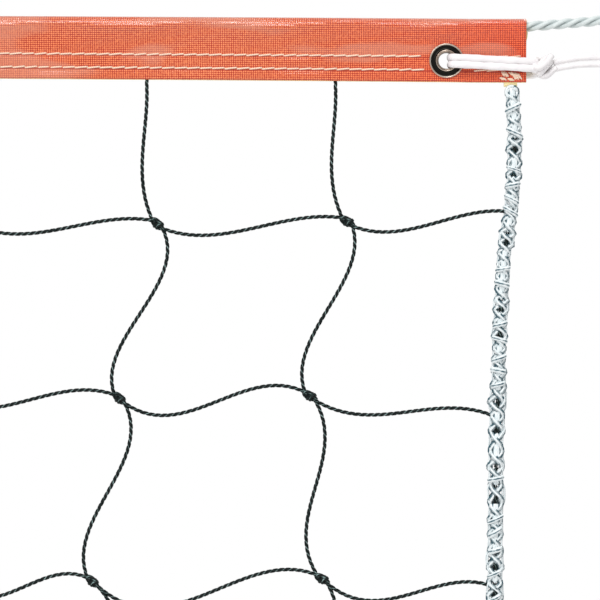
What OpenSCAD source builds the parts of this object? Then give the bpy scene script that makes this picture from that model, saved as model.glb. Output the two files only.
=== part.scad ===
// Volleyball-type net: a head rope in a folded vinyl band, square knotted netting hung from
// the band's hem, white cords laced along the other three edges, and a tie cord at each grommet.
// The origin is on the head rope's centreline at mid-span. +X runs to the net's right end,
// -Y is the front and +Z is up.

/* [Net] */
// Length of the head band, which is the length of the net
band_length = 9500; // [9000:100:10000]
// Side of one square of the netting
square_side = 100; // [98:1:102]
// Depth of the net's bottom edge below the head rope
net_depth = 990; // [988:1:1010]

/* [Head band] */
// Depth of the hem below the head rope
hem_depth = 29.7; // [29:0.1:30.5]
// Thickness of the coated fabric
fabric = 0.8; // [0.6:0.1:0.8]
// Outer radius of the fold round the rope
fold_radius = 4.3; // [4.2:0.1:5]
// Gap between the band's two layers below the fold
layer_gap = 2.4; // [2.4:0.1:2.6]

/* [Head rope] */
// Diameter of the head rope
rope_diameter = 5; // [4:0.5:5.5]
// Diameter of the knot that makes each end loop
rope_knot_diameter = 16; // [14:1:17]

/* [Netting] */
// Side of the twine's square section
twine = 2; // [1.5:0.1:2]
// Diameter of a netting knot
knot_diameter = 5.5; // [4.5:0.5:6.5]
// Thickness of a netting knot, front to back
knot_thickness = 4.4; // [4:0.2:5]

/* [Side and bottom cords] */
// Width of the laced white cord
side_width = 8; // [7:0.5:9]
// Thickness of the laced white cord, front to back
side_thickness = 5; // [4:0.5:5]

/* [Grommets and ties] */
// Distance of a grommet from the end of the band
grommet_inset = 42.2; // [41:0.2:43]
// Depth of a grommet's centre below the head rope
grommet_depth = 18; // [17.8:0.1:18.2]
// Diameter of a grommet's flange
grommet_diameter = 18.4; // [17:0.2:18.6]
// Diameter of the hole through a grommet
grommet_hole = 8.5; // [8:0.1:9]
// Diameter of the tie cord
tie_diameter = 3.2; // [2.8:0.1:3.3]
// Diameter of the tie's overhand knot
tie_knot_diameter = 12.4; // [11:0.2:12.4]

/* [Stitching] */
// Depth of the upper row of stitches below the head rope
upper_stitch_depth = 15.9; // [15.5:0.1:16.5]
// Depth of the lower row of stitches below the head rope
lower_stitch_depth = 23.1; // [22.5:0.1:23.2]
// Thickness of the sewing thread
thread = 0.6; // [0.4:0.1:0.7]

/* [Hidden] */

band_end = band_length / 2;
half_band = layer_gap / 2 + fabric;
columns = floor(band_length / square_side) - 1;
rows = 9;

// Rows 0 to 10 are the top of the netting, nine rows of knots and the bottom cord.
// How deep each row lies below the head rope
row_depth = [31.2, 104, 196.4, 293.4, 390, 487, 583, 680, 777, 874, net_depth - side_width];
// How far each row stands to the right of its column's line
row_sway = [-1, 5, -15, -19, -6, -14, 4, -9, 3, -5, 0];
// How much that changes from one column to the next
row_uneven = [0, 0.3, 0.5, 11, 4, 9, 5, 10, 6, 4, 0];
// Where each row of knots meets a side cord
row_join = [0, 98, 207, 297, 395, 492, 588, 684, 781, 879];
// How steeply a horizontal twine leaves one knot and reaches the next, in millimetres a square
row_dip = [0, 42, 62, 92, 50, 70, 45, 64, 52, 60];
row_rise = [0, 20, 45, 46, 40, 52, 30, 44, 36, 40];
// The same for a vertical twine, which leans to the right at each knot
column_out = 62;
column_in = 58;
top_in = 30;
// Share by which the dips and rises of neighbouring squares differ
dip_change = 0.2;
column_out_change = 8;
depth_change = 0.7;

// Centreline of a side cord: distance in from the band's end, by depth
side_route = [
    [-net_depth, 9], [-890, 13], [-790, 16], [-670, 11], [-560, 9], [-450, 13], [-350, 17],
    [-290, 16.5], [-235, 16], [-193, 15], [-130, 12.4], [-97, 8.2], [-62, 6], [-32.4, 7.6]
];
side_top = -32.4;
// Centreline of the rope's free end, beyond the band's end
rope_end_route = [[-20, 0], [-8, 0], [0, 0.2], [10, 0.9], [20, 1.7], [31, 2.6], [42, 3.6], [50, 4.2]];
rope_knot_place = [52, 4.4];
rope_loop_route = [
    [57, 7.2], [64, 10.5], [74, 14], [86, 16.5], [98, 15.5], [107, 11], [110, 6],
    [107, 1], [98, -3.5], [86, -4.5], [74, -2.5], [64, 0.5], [57, 2]
];
// One strand of the tie, out of its knot, through the grommet and back behind the band
tie_route = [
    [6, -1.4], [2, -3.3], [-3, -4.7], [-12, -5], [-24, -5.2], [-36, -5.5], [-40.4, -4.9], [-42.2, -2.4],
    [-42.2, 2.4], [-40.4, 4.9], [-36, 5.7], [-24, 5.2], [-12, 5], [-3, 4.7], [2, 3.3], [6, 1.4]
];
tie_knot_place = [8, -20.7];
tie_spread = 1.75;
upper_tail_route = [[14.5, -18.9], [22, -17.4], [31, -16.3], [44, -16.1], [56, -16.2]];
lower_tail_route = [[14.5, -22.5], [22, -21], [31, -20], [44, -19.9], [56, -19.8]];
tie_end_place = [60, -18];
tie_end_diameter = 11;

barrel_diameter = grommet_hole + 1.5;
// Thickness of a flange, and the radii of its edge bead, of the lip and of the rolled barrel end
plate = 0.5;
bead = 0.4;
lip = 0.75;
roll = 0.6;
// Gap between a flange and the fabric
seat = 0.05;

bartack_size = [11.2, 6];
bartack_inset = 8.2;
bartack_depth = 26.6;
upper_end_gap = 3;
lower_end_gap = 14.5;
tab_size = [7, 7.1];
tab_depth = 28.05;
selvage_depth = 11.7;
stub_depth = 29.5;
// Where the two layers come together below the fold
flat_depth = 8.6;
fold_shoulder = 0.5;

// ---- helpers ----

function unit(v) = v / norm(v);
function heading(path, i) = unit(path[min(i + 1, len(path) - 1)] - path[max(i - 1, 0)]);

// A round tube of one radius that follows path; up is never along it.
module tube(path, diameter, sides, up) {
    last = len(path) - 1;
    ring_points = [
        for (i = [0 : last])
            let (t = heading(path, i), s = unit(cross(t, up)), n = cross(s, t))
            for (k = [0 : sides - 1])
                path[i] + diameter / 2 * (cos(360 * k / sides) * s + sin(360 * k / sides) * n)
    ];
    walls = [
        for (i = [0 : last - 1])
            for (k = [0 : sides - 1])
                let (next = (k + 1) % sides)
                [i * sides + k, i * sides + next, (i + 1) * sides + next, (i + 1) * sides + k]
    ];
    first_cap = [for (k = [sides - 1 : -1 : 0]) k];
    last_cap = [for (k = [0 : sides - 1]) last * sides + k];
    polyhedron(ring_points, concat([first_cap], walls, [last_cap]));
}

// A strip of one width that follows path in the net's plane.
module strip(path, width, thickness) {
    last = len(path) - 1;
    edge = [
        for (i = [0 : last])
            let (t = heading(path, i))
            [path[i], width / 2 * [-t.y, t.x]]
    ];
    one_side = [for (e = edge) e[0] + e[1]];
    other_side = [for (i = [last : -1 : 0]) edge[i][0] - edge[i][1]];
    in_plane(thickness)
        polygon(concat(one_side, other_side));
}

// Stands a flat shape, drawn as width and height, in the net's plane.
module in_plane(thickness) {
    rotate([90, 0, 0])
        linear_extrude(height = thickness, center = true)
            children();
}

module at_end(side) {
    if (side > 0)
        translate([band_end, 0, 0]) children();
    else
        mirror([1, 0, 0]) translate([band_end, 0, 0]) children();
}

function spin(col, row) = cos(169 * (col - 1) + 35 * max(row - 3, 0));
function curve(p, q, out, in, t) =
    p + (q - p) * t + out * (t * (1 - t) * (1 - t)) - in * (t * t * (1 - t));

function side_x(depth) = lookup(-depth, side_route);
function knot_at(col, row) =
    col == 0 ? [band_end - side_x(row_join[row]), -row_join[row]] :
    col > columns ? [side_x(row_join[row]) - band_end, -row_join[row]] :
    [
        band_end - square_side * col + row_sway[row] + row_uneven[row] * spin(col, row),
        depth_change * spin(col, row) * (row > 0 && row <= rows ? 1 : 0) - row_depth[row]
    ];

// Thirds of each bar, so that a twine keeps the bow it has between two knots.
thirds = [0, 1 / 3, 2 / 3];
function column_path(col) = concat(
    [
        for (row = [0 : rows])
            let (
                out = row == 0 ? 0 : column_out - column_out_change * spin(col, row),
                in = row == 0 ? top_in : row == rows ? 0 : column_in
            )
            for (t = thirds)
                curve(knot_at(col, row), knot_at(col, row + 1), [out, 0], [in, 0], t)
    ],
    [knot_at(col, rows + 1)]
);
function row_path(row) = concat(
    [
        for (col = [columns + 1 : -1 : 1])
            let (share = row == 1 ? 1 : 1 - dip_change * spin(col, row))
            for (t = thirds)
                curve(
                    knot_at(col, row), knot_at(col - 1, row),
                    [0, -row_dip[row] * share], [0, -row_rise[row] * share], t
                )
    ],
    [knot_at(0, row)]
);

// ---- head rope ----

module head_rope() {
    color("whitesmoke") {
        right = [for (p = rope_end_route) [band_end + p.x, 0, p.y]];
        left = [for (i = [len(right) - 1 : -1 : 0]) [-right[i].x, 0, right[i].z]];
        tube(concat(left, right), rope_diameter, 12, [0, 1, 0]);
    }
}

module rope_knot(side) {
    color("whitesmoke")
        at_end(side)
            translate([rope_knot_place.x, 0, rope_knot_place.y])
                sphere(d = rope_knot_diameter);
}

module rope_loop(side) {
    color("whitesmoke")
        at_end(side)
            tube([for (p = rope_loop_route) [p.x, 0, p.y]], rope_diameter, 8, [0, 1, 0]);
}

// ---- head band ----

// The folded strip as one block, or its hollow, by how far inside the outer face it lies.
module band_block(inset) {
    reach = half_band - inset;
    shoulder = fold_radius - inset - fold_shoulder;
    rotate([90, 0, 90])
        cylinder(r = fold_radius - inset, h = band_length + inset, center = true);
    rotate([90, 0, 90])
        linear_extrude(height = band_length + inset, center = true)
            polygon([
                [-shoulder, 0], [shoulder, 0], [reach, -flat_depth],
                [reach, -hem_depth - inset], [-reach, -hem_depth - inset], [-reach, -flat_depth]
            ]);
}

module grommet_bore(diameter) {
    translate([0, 0, -grommet_depth])
        rotate([90, 0, 0])
            cylinder(d = diameter, h = 4 * half_band, center = true);
}

module header_band() {
    color("orangered")
        difference() {
            band_block(0);
            band_block(fabric);
            for (side = [-1, 1])
                at_end(side)
                    translate([-grommet_inset, 0, 0])
                        grommet_bore(barrel_diameter + 0.2);
        }
}

// Runs of thread on both faces, stopping short of the grommets, and of the bar-tacks below them.
module stitch_row(depth, end_gap) {
    gap = grommet_diameter / 2 + 1;
    outer = grommet_inset - gap - end_gap;
    color("bisque")
        for (face = [-1, 1])
            translate([0, face * (half_band + thread / 2), -depth]) {
                cube([2 * (band_end - grommet_inset - gap), thread, thread], center = true);
                for (side = [-1, 1])
                    translate([side * (band_end - end_gap - outer / 2), 0, 0])
                        cube([outer, thread, thread], center = true);
            }
}

module bartack(side) {
    color("bisque")
        at_end(side)
            for (face = [-1, 1])
                translate([-bartack_inset, face * (half_band + thread / 2), -bartack_depth])
                    cube([bartack_size.x, thread, bartack_size.y], center = true);
}

// ---- grommets ----

// Turns a profile, drawn as radius and height in front of the net's plane, about a grommet's axis.
module turned(side) {
    color("silver")
        at_end(side)
            translate([-grommet_inset, 0, -grommet_depth])
                rotate([90, 0, 0])
                    rotate_extrude($fn = 64)
                        children();
}

// A thin plate between two radii, with a round bead on the edge away from the barrel.
module flange_profile(inner, height, direction) {
    rim = grommet_diameter / 2 - bead;
    translate([inner, min(height, height + direction * plate)])
        square([rim - inner, plate]);
    translate([rim, height + direction * bead])
        circle(r = bead, $fn = 32);
}

// The eyelet: a flange with a raised lip round the hole, and a barrel through both layers.
module grommet_eyelet(side) {
    wall = (barrel_diameter - grommet_hole) / 2;
    turned(side) {
        translate([grommet_hole / 2, -half_band - seat - plate - roll])
            square([wall, 2 * (half_band + seat + plate) + roll]);
        flange_profile(grommet_hole / 2 + wall / 2, half_band + seat, 1);
        translate([grommet_hole / 2 + lip, half_band + seat + lip])
            circle(r = lip, $fn = 32);
        translate([grommet_hole / 2 + roll, -half_band - seat - plate - roll])
            circle(r = roll, $fn = 32);
    }
}

// The washer behind the band, which the barrel's end is rolled over.
module grommet_washer(side) {
    turned(side)
        flange_profile(barrel_diameter / 2 + 0.1, -half_band - seat, -1);
}

// ---- netting inside the band ----

module top_selvage_twine() {
    color("darkslategray")
        in_plane(twine) {
            first = knot_at(columns, 0).x;
            last = knot_at(1, 0).x;
            translate([first - square_side / 2, -selvage_depth - twine / 2])
                square([last - first + square_side, twine]);
            for (col = [1 : columns])
                translate([knot_at(col, 0).x - twine / 2, -stub_depth])
                    square([twine, stub_depth - selvage_depth]);
        }
}

module corner_tab(side) {
    color("lemonchiffon")
        at_end(side)
            translate([-side_x(-side_top), 0, -tab_depth])
                cube([tab_size.x, layer_gap - 0.2, tab_size.y], center = true);
}

// ---- netting ----

module vertical_twines() {
    color("darkslategray")
        for (col = [1 : columns])
            strip(column_path(col), twine, twine);
}

module horizontal_twines() {
    color("darkslategray")
        for (row = [1 : rows])
            strip(row_path(row), twine, twine);
}

module netting_knots() {
    color("darkslategray")
        for (row = [1 : rows])
            for (col = [1 : columns])
                translate([knot_at(col, row).x, 0, knot_at(col, row).y])
                    rotate([90, 0, 0])
                        cylinder(d = knot_diameter, h = knot_thickness, center = true, $fn = 24);
}

module side_strip(side, width, thickness) {
    at_end(side)
        strip([for (p = side_route) [-p[1], p[0]]], width, thickness);
}

module side_cord(side) {
    color("ghostwhite")
        side_strip(side, side_width, side_thickness);
}

module side_twine(side) {
    color("darkslategray")
        side_strip(side, twine, twine);
}

module bottom_run(width, thickness) {
    length = 2 * (band_end - side_x(net_depth) - side_width / 2);
    translate([0, 0, side_width / 2 - net_depth])
        cube([length, thickness, width], center = true);
}

module bottom_cord() {
    color("ghostwhite")
        bottom_run(side_width, side_thickness);
}

module bottom_twine() {
    color("darkslategray")
        bottom_run(twine, twine);
}

// ---- ties ----

// The doubled cord, front and back of the band. It drops a little towards its knot.
module tie_lashing(side) {
    drop = (tie_knot_place.y + grommet_depth) / (tie_knot_place.x + grommet_inset);
    color("white")
        at_end(side)
            for (strand = [-1, 1])
                tube(
                    [
                        for (p = tie_route)
                            [p.x, p.y, drop * (p.x + grommet_inset) - grommet_depth + strand * tie_spread]
                    ],
                    tie_diameter, 8, [0, 0, 1]
                );
}

module tie_knot(side) {
    color("white")
        at_end(side)
            translate([tie_knot_place.x, 0, tie_knot_place.y])
                sphere(d = tie_knot_diameter);
}

module tie_tails(side) {
    color("white")
        at_end(side)
            for (route = [upper_tail_route, lower_tail_route])
                tube([for (p = route) [p.x, 0, p.y]], tie_diameter, 8, [0, 1, 0]);
}

module tie_end_knot(side) {
    color("white")
        at_end(side)
            translate([tie_end_place.x, 0, tie_end_place.y])
                sphere(d = tie_end_diameter);
}

head_rope();
rope_knot(1);  // rope_knot_right
rope_loop(1);  // rope_loop_right
rope_knot(-1);  // rope_knot_left
rope_loop(-1);  // rope_loop_left
header_band();
stitch_row(upper_stitch_depth, upper_end_gap);  // upper_stitching
stitch_row(lower_stitch_depth, lower_end_gap);  // lower_stitching
bartack(1);  // bartack_right
bartack(-1);  // bartack_left
grommet_eyelet(1);  // grommet_eyelet_right
grommet_washer(1);  // grommet_washer_right
grommet_eyelet(-1);  // grommet_eyelet_left
grommet_washer(-1);  // grommet_washer_left
top_selvage_twine();
corner_tab(1);  // corner_tab_right
corner_tab(-1);  // corner_tab_left
tie_lashing(1);  // tie_lashing_right
tie_knot(1);  // tie_knot_right
tie_lashing(-1);  // tie_lashing_left
tie_knot(-1);  // tie_knot_left
vertical_twines();
horizontal_twines();
netting_knots();
side_cord(1);  // side_cord_right
side_twine(1);  // side_twine_right
side_cord(-1);  // side_cord_left
side_twine(-1);  // side_twine_left
bottom_cord();
bottom_twine();
tie_tails(1);  // tie_tails_right
tie_end_knot(1);  // tie_end_knot_right
tie_tails(-1);  // tie_tails_left
tie_end_knot(-1);  // tie_end_knot_left
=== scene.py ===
import math
import random

import bpy
import numpy as np
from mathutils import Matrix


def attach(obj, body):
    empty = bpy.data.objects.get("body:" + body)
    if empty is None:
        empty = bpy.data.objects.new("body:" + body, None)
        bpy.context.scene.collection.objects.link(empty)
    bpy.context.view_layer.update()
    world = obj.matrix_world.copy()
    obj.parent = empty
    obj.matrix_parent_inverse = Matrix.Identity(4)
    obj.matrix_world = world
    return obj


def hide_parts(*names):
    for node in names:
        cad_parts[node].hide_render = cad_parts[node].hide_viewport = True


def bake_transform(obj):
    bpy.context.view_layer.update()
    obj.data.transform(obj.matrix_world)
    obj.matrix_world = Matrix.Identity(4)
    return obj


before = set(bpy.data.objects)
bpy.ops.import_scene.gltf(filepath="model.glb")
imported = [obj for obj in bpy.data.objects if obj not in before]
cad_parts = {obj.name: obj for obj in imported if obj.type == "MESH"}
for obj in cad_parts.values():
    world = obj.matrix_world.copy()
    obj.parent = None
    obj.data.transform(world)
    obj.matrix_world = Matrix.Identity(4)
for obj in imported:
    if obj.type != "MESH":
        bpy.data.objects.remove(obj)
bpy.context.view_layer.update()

# All lengths are in metres. The origin is on the head rope's centreline at mid-span, +X runs to
# the net's right end, -Y is the front and +Z is up.
BAND_END = 4.75
COLUMNS = 94
ROWS = 9
SQUARE = 0.1
SIDES = ((1, "right"), (-1, "left"))
# The direction from the front of the net to its back.
BACK = np.array([0.0, 1.0, 0.0])


# ---- camera and light ----

VIEW_CENTRE = (BAND_END - 0.1198, -0.1447)
VIEW_WIDTH = 0.318
LENS = 200.0
SENSOR = 36.0


def make_camera():
    data = bpy.data.cameras.new("camera")
    data.lens = LENS
    data.sensor_width = SENSOR
    data.clip_start = 0.05
    data.clip_end = 200.0
    camera = bpy.data.objects.new("camera", data)
    camera.location = (VIEW_CENTRE[0], -VIEW_WIDTH * LENS / SENSOR, VIEW_CENTRE[1])
    camera.rotation_euler = (math.radians(90), 0, 0)
    bpy.context.scene.collection.objects.link(camera)
    bpy.context.scene.camera = camera


make_camera()
bpy.context.scene.view_settings.view_transform = "Standard"


# ---- shapes ----


class Shape:
    """Points, faces and, for each point, its angle about a strand and its place along it."""

    def __init__(self):
        self.points = []
        self.wraps = []
        self.faces = []
        self.count = 0

    def add(self, points, wraps, faces):
        self.points.append(points)
        self.wraps.append(wraps)
        self.faces.extend(faces)
        self.count += len(points)


def make_object(name, shape, material):
    """Makes a mesh object of a shape, smooth shaded, with each point's wrap as an attribute."""
    mesh = bpy.data.meshes.new(name)
    mesh.from_pydata(np.concatenate(shape.points).tolist(), [], shape.faces)
    layer = mesh.attributes.new("wrap", "FLOAT_VECTOR", "POINT")
    layer.data.foreach_set("vector", np.concatenate(shape.wraps).astype(np.float32).ravel())
    mesh.polygons.foreach_set("use_smooth", [True] * len(mesh.polygons))
    mesh.materials.append(material)
    thing = bpy.data.objects.new(name, mesh)
    bpy.context.scene.collection.objects.link(thing)
    return thing


def place(thing, body, slot, *nodes):
    """Sets the body that a piece rides on and hides the CAD nodes it stands for. Its slot is not used."""
    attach(thing, body)
    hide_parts(*nodes)
    return thing


def add_piece(name, shape, material, body, slot, *nodes):
    """Makes a piece and places it."""
    return place(make_object(name, shape, material), body, slot, *nodes)


def circle(radius, sides, flatten=1.0):
    turn = np.linspace(0, 2 * np.pi, sides, endpoint=False)
    return np.stack([radius * np.cos(turn), flatten * radius * np.sin(turn)], axis=1)


def lobed(radius, strands, points_each):
    """The outline of some round strands laid together, valleys included."""
    inner = math.sin(math.pi / strands)
    strand = radius / (1 + 1 / inner)
    reach = radius - strand
    limit = math.pi / 2 + math.pi / strands
    outline = []
    for number in range(strands):
        lobe = 2 * math.pi * number / strands
        for step in range(points_each):
            turn = -limit + 2 * limit * step / points_each
            x = reach + strand * math.cos(turn)
            y = strand * math.sin(turn)
            outline.append((x * math.cos(lobe) - y * math.sin(lobe),
                            x * math.sin(lobe) + y * math.cos(lobe)))
    return np.array(outline)


def unit(vectors):
    return vectors / np.linalg.norm(vectors, axis=-1, keepdims=True)


def distance_along(path):
    """How far along a path each of its points is."""
    return np.concatenate([[0.0], np.cumsum(np.linalg.norm(np.diff(path, axis=0), axis=1))])


def grid_quads(columns, rows):
    """Quads between the points of a grid, which are numbered down one column after another."""
    number = np.arange(columns * rows).reshape(columns, rows)
    return np.stack([number[:-1, :-1], number[1:, :-1], number[1:, 1:], number[:-1, 1:]], axis=-1)


def path_frames(path, up):
    """Directions ahead, aside and above along a path. With no up they turn as little as they can."""
    ahead = unit(np.gradient(path, axis=0))
    if up is not None:
        aside = unit(np.cross(ahead, up))
        return ahead, aside, np.cross(aside, ahead)
    aside = np.empty_like(ahead)
    helper = BACK if abs(ahead[0][1]) < 0.8 else (1.0, 0.0, 0.0)
    last = unit(np.cross(ahead[0], helper))
    for number, forward in enumerate(ahead):
        last = last - forward * last.dot(forward)
        last = last / math.sqrt(last.dot(last))
        aside[number] = last
    return ahead, aside, np.cross(aside, ahead)


def tube_faces(first, rings, sides):
    """Quads round a tube's rings, and a fan on the centre point at each end."""
    here = np.arange(sides)
    after = (here + 1) % sides
    base = first + sides * np.arange(rings - 1)[:, None]
    quads = np.stack([base + here, base + after, base + sides + after, base + sides + here], axis=-1)
    faces = quads.reshape(-1, 4).tolist()
    start = first + rings * sides
    end = start + 1
    last = first + (rings - 1) * sides
    for side in range(sides):
        following = (side + 1) % sides
        faces.append((first + following, first + side, start))
        faces.append((last + side, last + following, end))
    return faces


def sweep(shape, path, section, lay=0.0, up=BACK, grow=None, begin=0.0):
    """Adds a section swept along a path. lay is the length of one turn of its strands, or 0."""
    path = np.asarray(path, float)
    _, aside, above = path_frames(path, up)
    along = begin + distance_along(path)
    turn = 2 * np.pi * along / lay if lay else np.zeros(len(path))
    cosine = np.cos(turn)[:, None]
    sine = np.sin(turn)[:, None]
    x = section[:, 0] * cosine - section[:, 1] * sine
    y = section[:, 0] * sine + section[:, 1] * cosine
    if grow is not None:
        x = x * grow[:, None]
        y = y * grow[:, None]
    rings = path[:, None] + x[..., None] * aside[:, None] + y[..., None] * above[:, None]
    size = np.hypot(x, y)
    wraps = np.stack([x / size, y / size, np.broadcast_to(along[:, None], x.shape)], axis=-1)
    points = np.concatenate([rings.reshape(-1, 3), path[:1], path[-1:]])
    ends = np.array([[1.0, 0.0, along[0]], [1.0, 0.0, along[-1]]])
    faces = tube_faces(shape.count, len(path), len(section))
    shape.add(points, np.concatenate([wraps.reshape(-1, 3), ends]), faces)


def smooth(points, step):
    """A smooth curve through some points, with a point about every step."""
    points = np.asarray(points, float)
    padded = np.concatenate([[2 * points[0] - points[1]], points, [2 * points[-1] - points[-2]]])
    fine = []
    share = np.linspace(0, 1, 16, endpoint=False)[:, None]
    for a, b, c, d in zip(padded[:-3], padded[1:-2], padded[2:-1], padded[3:]):
        fine.append(0.5 * (2 * b + (c - a) * share + (2 * a - 5 * b + 4 * c - d) * share ** 2
                           + (3 * b - a - 3 * c + d) * share ** 3))
    fine = np.concatenate(fine + [points[-1:]])
    along = distance_along(fine)
    count = max(int(round(along[-1] / step)), 2)
    places = np.linspace(0, along[-1], count + 1)
    return np.stack([np.interp(places, along, fine[:, axis]) for axis in range(3)], axis=1)


def mirrored(points, side):
    """Points measured from the band's right end, put at that side's end of the net."""
    return np.asarray(points, float) * (side, 1, 1) + (side * BAND_END, 0, 0)


def in_plane(route):
    """Places along X and Z, put in the net's middle plane."""
    return np.array([(x, 0.0, z) for x, z in route])


def lay_strand(shape, points, centre, side, section, step, lay):
    """Sweeps a strand smoothly through places measured from a knot's centre."""
    sweep(shape, smooth(mirrored(np.array(points) + centre, side), step), section, lay, None)


def thicken(thing, thickness):
    solid = thing.modifiers.new("thickness", "SOLIDIFY")
    solid.thickness = thickness
    solid.offset = 0.0
    return solid


# ---- the band's folded line, which the materials and the stitches follow ----

HEM_DEPTH = 0.0297
UPPER_STITCH_DEPTH = 0.0159
LOWER_STITCH_DEPTH = 0.0231
# Half of the folded strip's middle surface, from the hem up to the fold: depth and half width.
BAND_PROFILE = [
    (0.0294, 0.00175), (0.0275, 0.0019), (0.0252, 0.0018), (0.0231, 0.00145), (0.0210, 0.0018),
    (0.0180, 0.0019), (0.0159, 0.00145), (0.0140, 0.0018), (0.0115, 0.0021), (0.0090, 0.0024),
    (0.0065, 0.0029), (0.0042, 0.0034), (0.0020, 0.0038), (0.0, 0.0039), (-0.0016, 0.0036),
    (-0.0028, 0.0027), (-0.0036, 0.0014), (-0.0039, 0.0)]


def band_outline():
    """The folded strip's middle line, as places in front (-) and heights, and each one's place
    along the cloth."""
    half = [(-width, -depth) for depth, width in BAND_PROFILE]
    outline = np.array(half + [(-y, z) for y, z in half[-2::-1]])
    return outline, distance_along(outline)


def cloth_place(depth):
    """How far along the cloth a depth on the front layer is, from the front hem."""
    outline, along = band_outline()
    front = len(BAND_PROFILE)
    return float(np.interp(-depth, outline[:front, 1], along[:front]))


# ---- materials ----


class Nodes:
    """A short way to make a material's nodes and link them."""

    def __init__(self, name):
        self.material = bpy.data.materials.new(name)
        self.material.use_nodes = True
        self.tree = self.material.node_tree
        self.surface = self.tree.nodes["Principled BSDF"]

    def node(self, kind, **settings):
        made = self.tree.nodes.new(kind)
        for key, value in settings.items():
            setattr(made, key, value)
        return made

    def link(self, source, target):
        if isinstance(source, (int, float, tuple)):
            target.default_value = source
        else:
            self.tree.links.new(source, target)

    def math(self, operation, first, second=0.0, third=0.0):
        made = self.node("ShaderNodeMath", operation=operation)
        self.link(first, made.inputs[0])
        self.link(second, made.inputs[1])
        self.link(third, made.inputs[2])
        return made.outputs[0]

    def mix(self, factor, first, second):
        made = self.node("ShaderNodeMix", data_type="RGBA")
        self.link(factor, made.inputs[0])
        self.link(first, made.inputs[6])
        self.link(second, made.inputs[7])
        return made.outputs[2]

    def clamp(self, value):
        return self.math("MINIMUM", self.math("MAXIMUM", value, 0.0), 1.0)

    def wave(self, value, period):
        """A cosine from 0 to 1 over each period."""
        turn = self.math("MULTIPLY", value, 2 * math.pi / period)
        return self.math("MULTIPLY_ADD", self.math("COSINE", turn), 0.5, 0.5)

    def split(self, vector):
        parts = self.node("ShaderNodeSeparateXYZ")
        self.link(vector, parts.inputs[0])
        return parts.outputs

    def wrap(self):
        """A strand's cosine and sine about its line and place along it, or the band's X and cloth place."""
        return self.split(self.node("ShaderNodeAttribute", attribute_name="wrap").outputs["Vector"])

    def crown(self, angle, along, strands, lay):
        """From 0 in the valleys between a twisted cord's strands to 1 on their crowns."""
        turned = self.math("MULTIPLY", angle, float(strands))
        phase = self.math("MULTIPLY_ADD", along, -2 * math.pi * strands / lay, turned)
        return self.wave(phase, 2 * math.pi)

    def fibres(self, across, along, scale, roughness):
        """Noise drawn out along a strand, from coordinates across it and along it."""
        vector = self.node("ShaderNodeCombineXYZ")
        self.link(across, vector.inputs[0])
        self.link(along, vector.inputs[1])
        return self.noise(vector.outputs[0], scale, 3.0, roughness)

    def position(self):
        return self.node("ShaderNodeTexCoord").outputs["Object"]

    def noise(self, vector, scale, detail=3.0, roughness=0.5):
        made = self.node("ShaderNodeTexNoise")
        self.link(vector, made.inputs["Vector"])
        made.inputs["Scale"].default_value = scale
        made.inputs["Detail"].default_value = detail
        made.inputs["Roughness"].default_value = roughness
        return made.outputs[0]

    def stretched(self, scale):
        """The object's coordinates, scaled differently along each axis."""
        made = self.node("ShaderNodeMapping")
        self.link(self.position(), made.inputs["Vector"])
        made.inputs["Scale"].default_value = scale
        return made.outputs[0]

    def bump(self, height, strength, distance):
        made = self.node("ShaderNodeBump")
        self.link(height, made.inputs["Height"])
        self.link(strength, made.inputs["Strength"])
        made.inputs["Distance"].default_value = distance
        return made.outputs[0]

    def set(self, **values):
        for key, value in values.items():
            self.link(value, self.surface.inputs[key.replace("_", " ")])


WARP_PITCH = 0.001167
WEFT_PITCH = 0.00112
# The half width of the painted red shadow just below each row of stitches, and how far below the stitches its
# middle lies.
SEAM_SHADE = 0.0007
# How far down from the fold the film is glossier, and how far in from an end the weave is redder.
FOLD_GLOSS = 0.013
RUDDY_REACH = 0.11
GROOVE_DARK = (0.36, 0.008, 0.001, 1)
GROOVE_LIGHT = (0.46, 0.026, 0.006, 1)
WEAVE_DEEP = (1.0, 0.205, 0.050, 1)
WEAVE_PALE = (1.0, 0.36, 0.155, 1)
WEAVE_RUDDY = (1.0, 0.135, 0.030, 1)
# A greyish salmon mixed into the band's colour in broad patches: a painted reflection.
FILM_PAINTED_REFLECTION = (0.66, 0.27, 0.18, 1)
# The dark red of the painted shadow just below each row of stitches.
SEAM_SHADOW_RED = (0.36, 0.012, 0.004, 1)


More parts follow.
